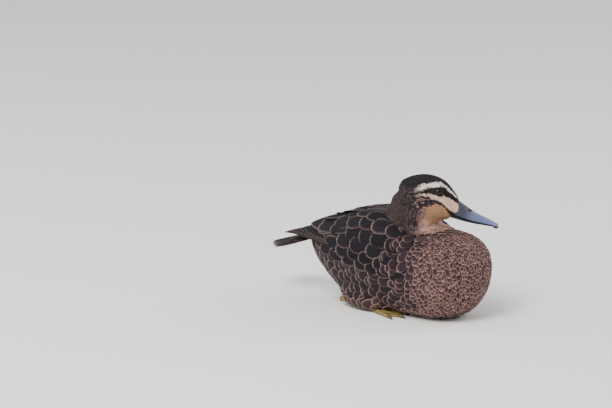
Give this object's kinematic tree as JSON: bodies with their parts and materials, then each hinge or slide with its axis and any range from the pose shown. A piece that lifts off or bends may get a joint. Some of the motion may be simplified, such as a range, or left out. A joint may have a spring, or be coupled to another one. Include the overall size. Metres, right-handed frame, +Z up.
{
  "type": "duck",
  "caption": "Life-size still model of a dabbling duck at rest on its belly, neck drawn in, head turned to its left and bill a little down.",
  "frame": {"origin": "centre of the bounding box's base, on the floor under the bird", "axes": "+X from tail to breast, +Y to the bird's left, +Z up"},
  "size_m": [0.314, 0.1224, 0.1671],
  "materials": {
    "body_feathers": "matte feathers, dark brown with thin buff fringes",
    "breast_feathers": "matte feathers, dark brown scaled with pinkish buff",
    "face_feathers": "short cream and tan feathers with black crown, eye stripe and cheek line",
    "quills": "smooth flight feathers, blackish brown",
    "bill": "satin slate-blue horn",
    "black_horn": "satin black horn",
    "eye": "wet, dark brown",
    "leg_skin": "scaly olive-yellow skin"
  },
  "bodies": {
    "root": {"bill_upper": "bill", "bill_lower": "bill", "bill_nail": "black_horn", "eye_left": "eye", "eye_right": "eye", "head": "face_feathers", "neck": "breast_feathers", "breast": "breast_feathers", "belly_and_back": "body_feathers", "rump": "body_feathers", "tail": "quills", "primaries_left": "quills", "wing_left": "body_feathers", "tertials_left": "quills", "scapulars_left": "body_feathers", "shank_left": "leg_skin", "foot_left": "leg_skin", "claw_left_1": "black_horn", "claw_left_2": "black_horn", "claw_left_3": "black_horn", "primaries_right": "quills", "wing_right": "body_feathers", "tertials_right": "quills", "scapulars_right": "body_feathers", "shank_right": "leg_skin", "foot_right": "leg_skin", "claw_right_1": "black_horn", "claw_right_2": "black_horn", "claw_right_3": "black_horn"}
  },
  "joints": []
}
